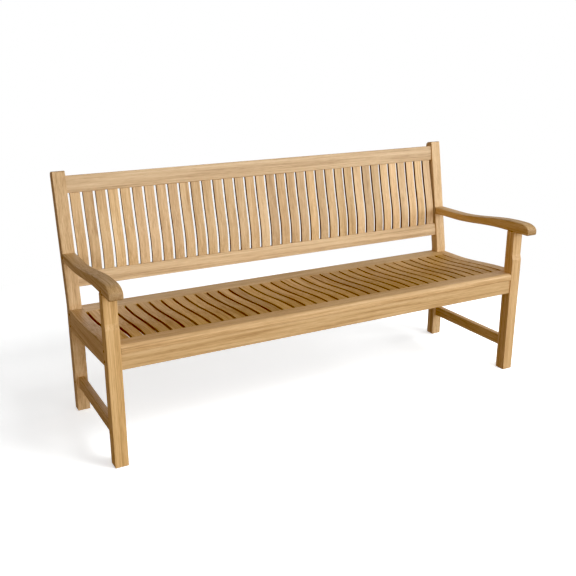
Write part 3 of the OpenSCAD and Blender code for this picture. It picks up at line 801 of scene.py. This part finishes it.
def turned_discs(name, places, axes, profile, material):
    """Discs turned about axes that lie across X: place + h * axis + r * (cos a * X + sin a * up),
    for every (r, h) of the profile, closed by a flat face at its first and at its last point."""
    places, axes = np.asarray(places, float), unit(np.asarray(axes, float))
    r, h = np.asarray(profile, float).T
    rings, n = len(r), 28
    a = np.arange(n) * 2 * math.pi / n
    side = np.array([1.0, 0, 0])
    up = np.cross(axes, side)
    round_part = np.cos(a)[None, :, None] * side + np.sin(a)[None, :, None] * up[:, None]
    verts = places[:, None, None] + h[None, :, None, None] * axes[:, None, None]
    verts = verts + r[None, :, None, None] * round_part[:, None]
    base = np.arange(len(places))[:, None, None] * rings * n
    quads = (grid_quads(rings, n)[None] + base).reshape(-1, 4)
    caps = np.concatenate([base[:, 0] + (rings - 1) * n + np.arange(n), base[:, 0] + np.arange(n)[::-1]])
    mesh = bpy.data.meshes.new(name)
    mesh.from_pydata(verts.reshape(-1, 3).tolist(), [], quads.tolist() + caps.tolist())
    mesh.update()
    mesh.materials.append(material)
    piece = bpy.data.objects.new(name, mesh)
    bpy.context.collection.objects.link(piece)
    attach(piece, "root")


def nut_places():
    """Where the barrel nuts show in the rear faces of the rails, and which way each looks."""
    lean = sizes().lean
    apron_front, apron_back = span("front_apron", 1)
    half_apron, half_rail = (apron_back - apron_front) / 2, (RAIL_U[1] - RAIL_U[0]) / 2
    depths = [half_apron, half_apron, half_rail, half_rail]
    axes = [(0, 1, 0)] * 2 + [(0, math.cos(lean), -math.sin(lean))] * 2
    places = [
        np.array([0, *bolt]) + depth * np.array(axis)
        for bolt, depth, axis in zip(fixing_places()[1], depths, axes)]
    offset = np.array([INNER_X - NUT_IN, 0, 0])
    return [p + offset for p in places] + [p - offset for p in places], axes * 2


class BENCH_OT_ironmongery(bpy.types.Operator):
    """Gives the bolts, nuts and screws their steel, and draws the ends of the barrel nuts in the
    rails and the screw heads under the bearer, each with a ring of painted shadow for its hole and a
    dark disc of painted shadow for its socket"""

    bl_idname = "bench.ironmongery"
    bl_label = "Ironmongery"

    def execute(self, context):
        for node in ("frame_bolts", "barrel_nuts", "slat_screws"):
            dress(node, stainless())
        nuts, nut_axes = nut_places()
        low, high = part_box("seat_bearer")
        under = bearer_top(np.array([low.y, high.y])) - BEARER_T
        down = (0, (under[1] - under[0]) / (high.y - low.y), -1)
        screws = [(x, (low.y + high.y) / 2, under.mean()) for x in slat_layout()]
        for name, places, axes, radius in (
                ("nut", nuts, nut_axes, NUT_R), ("screw", screws, [down] * len(screws), SCREW_R)):
            rim, side, bevel, socket = radius + 0.5 * MM, radius - 0.2 * MM, radius - 0.6 * MM, radius * 0.36
            sunk, lip, shoulder, crown, recess = [h * MM for h in (-1, 0.1, 0.2, 0.3, 0.36)]
            # the ring round each head and the disc on it are painted shadow, where the hole and the socket
            # would be in shade
            hole = [(rim, sunk), (rim, lip)]
            head = [(side, 0), (side, shoulder), (bevel, crown)]
            socket_shadow = [(socket, 0), (socket, recess)]
            turned_discs(f"{name}_hole_shadows", places, axes, hole, hole_shadow())
            turned_discs(f"{name}_heads", places, axes, head, stainless())
            turned_discs(f"{name}_socket_shadows", places, axes, socket_shadow, hole_shadow())
        return {"FINISHED"}


def dress(node, material):
    """Puts a material on a CAD node."""
    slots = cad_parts[node].data.materials
    slots.clear()
    slots.append(material)


class BENCH_OT_studio(bpy.types.Operator):
    """Builds the floor, the lights, the sky and the camera"""

    bl_idname = "bench.studio"
    bl_label = "Studio"

    def execute(self, context):
        look = context.scene.studio_look
        floor = self.floor(look)
        self.sky()
        self.lamp("side_light", azimuth=90, height=14, watts=look.side_watts)
        self.lamp("front_light", azimuth=60, height=18, watts=look.front_watts)
        self.lamp("rear_light", azimuth=185, height=12, watts=look.rear_watts)
        overhead = self.lamp("overhead_light", azimuth=32, height=47, watts=look.overhead_watts)
        floor_only = bpy.data.collections.new("floor_only")
        floor_only.objects.link(floor)
        overhead.light_linking.receiver_collection = floor_only
        camera = bpy.data.objects.new("camera", bpy.data.cameras.new("camera"))
        camera.data.lens = look.lens
        camera.data.sensor_width = 36.0
        left, forward, eye_height, tilt, turn = 1.5204, 2.3712, 1.4167, 72.128, 28.556
        camera.location = (-left, FRONT_Y - forward, eye_height)
        camera.rotation_euler = (math.radians(tilt), 0, -math.radians(turn))
        context.collection.objects.link(camera)
        context.scene.camera = camera
        view = context.scene.view_settings
        view.view_transform = "Standard"
        view.use_curve_mapping = True
        shadow_depth = (0.040, 0.050, 0.043)
        view.curve_mapping.black_level = shadow_depth
        view.curve_mapping.update()
        return {"FINISHED"}

    def floor(self, look):
        """White paper, lit evenly from below for the eye, so that only soft shadows show. It
        throws a little light up at the bench."""
        mesh = bpy.data.meshes.new("studio_floor")
        reach = 60.0
        corners = [(-reach, -reach, 0), (reach, -reach, 0), (reach, reach, 0), (-reach, reach, 0)]
        mesh.from_pydata(corners, [], [(0, 1, 2, 3)])
        floor = bpy.data.objects.new("studio_floor", mesh)
        bpy.context.collection.objects.link(floor)
        bench_reach, paper_end = 1.2, 2.2
        lit_from_below, thrown_up = 0.52, 0.21
        material, tree, paper = new_material("studio_paper_matt")
        paper.inputs["Base Color"].default_value = linear(look.floor)
        paper.inputs["Roughness"].default_value = 1.0
        paper.inputs["Specular IOR Level"].default_value = 0.0
        paper.inputs["Emission Color"].default_value = linear("#fdfeff")
        paper.inputs["Emission Strength"].default_value = lit_from_below
        glow = add(tree, "Emission", {"Color": linear("#fff0dc"), "Strength": thrown_up})
        white = add(tree, "Emission", {"Strength": 1.0})
        place = add(tree, "TexCoord", {}, output="Object")
        away = add(tree, "VectorMath", {0: place}, output="Value", operation="LENGTH")
        fade = add(tree, "MapRange", {"Value": away, "From Min": bench_reach, "From Max": paper_end},
                   interpolation_type="SMOOTHSTEP")
        shown = add(tree, "MixShader", {0: fade, 1: paper.outputs["BSDF"], 2: white})
        seen = add(tree, "LightPath", {}, output="Is Camera Ray")
        both = add(tree, "MixShader", {0: seen, 1: glow, 2: shown})
        tree.links.new(both, tree.nodes["Material Output"].inputs["Surface"])
        mesh.materials.append(material)
        return floor

    def sky(self):
        """A white backdrop to the eye. As a light, it is the sum of soft sources round the bench,
        each as strong as the fourth power of the cosine between a direction and its own. Azimuths
        are in degrees from the front towards the right."""
        world = bpy.data.worlds.new("studio_sky")
        world.use_nodes = True
        tree = world.node_tree
        tree.nodes.clear()
        direction = add(tree, "TexCoord", {}, output="Generated")
        total = (0, 0, 0)
        for azimuth, strength, colour in (
                (0, 2.15, "#ffffff"), (30, 2.05, "#ffffff"), (-55, 1.28, "#fff0e2"), (152, 1.4, "#ffffff")):
            a = math.radians(azimuth)
            towards = (math.sin(a), -math.cos(a), 0)
            dot = add(tree, "VectorMath", {0: direction, 1: towards}, output="Value", operation="DOT_PRODUCT")
            facing = add(tree, "Math", {0: dot, 1: 0.0}, operation="MAXIMUM")
            narrow = add(tree, "Math", {0: facing, 1: 4.0}, operation="POWER")
            shade = [strength * c for c in linear(colour)[:3]]
            total = add(tree, "VectorMath", {0: narrow, 1: shade, 2: total}, operation="MULTIPLY_ADD")
        seen = add(tree, "LightPath", {}, output="Is Camera Ray")
        light = add(tree, "Mix", {0: seen, 4: total, 5: (1, 1, 1)}, output=1, data_type="VECTOR")
        background = add(tree, "Background", {"Color": light, "Strength": 1.0})
        add(tree, "OutputWorld", {"Surface": background}, output=None)
        bpy.context.scene.world = world

    def lamp(self, name, azimuth, height, watts):
        """A round soft box aimed at the seat: azimuth in degrees from the front towards the right,
        height in degrees above the floor."""
        distance, size, seat_height = 5.0, 2.2, 0.4
        light = bpy.data.lights.new(name, "AREA")
        light.shape = "DISK"
        light.size = size
        light.energy = watts
        lamp = bpy.data.objects.new(name, light)
        a, e = math.radians(azimuth), math.radians(height)
        away = distance * math.cos(e)
        lamp.location = (away * math.sin(a), -away * math.cos(a), seat_height + distance * math.sin(e))
        lamp.rotation_euler = (math.pi / 2 - e, 0, a)
        bpy.context.collection.objects.link(lamp)
        return lamp


class BENCH_PT_panel(bpy.types.Panel):
    """Lists the bench's pieces"""

    bl_label = "Garden bench"
    bl_idname = "BENCH_PT_panel"
    bl_space_type = "VIEW_3D"
    bl_region_type = "UI"
    bl_category = "Bench"

    def draw(self, context):
        for operator in OPERATORS:
            self.layout.operator(operator.bl_idname)


GROUPS = {"bench_sizes": BenchSizes, "teak_look": TeakLook, "studio_look": StudioLook}
OPERATORS = [
    BENCH_OT_front_legs, BENCH_OT_rear_legs, BENCH_OT_arms, BENCH_OT_side_rails, BENCH_OT_long_rails,
    BENCH_OT_slats, BENCH_OT_under_seat, BENCH_OT_pins_and_plugs, BENCH_OT_ironmongery, BENCH_OT_studio]


def register():
    for name, group in GROUPS.items():
        bpy.utils.register_class(group)
        setattr(bpy.types.Scene, name, bpy.props.PointerProperty(type=group))
    for cls in [*OPERATORS, BENCH_PT_panel]:
        bpy.utils.register_class(cls)


def unregister():
    for cls in [BENCH_PT_panel, *reversed(OPERATORS)]:
        bpy.utils.unregister_class(cls)
    for name, group in GROUPS.items():
        delattr(bpy.types.Scene, name)
        bpy.utils.unregister_class(group)


def main():
    register()
    for operator in OPERATORS:
        group, name = operator.bl_idname.split(".")
        getattr(getattr(bpy.ops, group), name)()


if __name__ == "__main__":
    main()
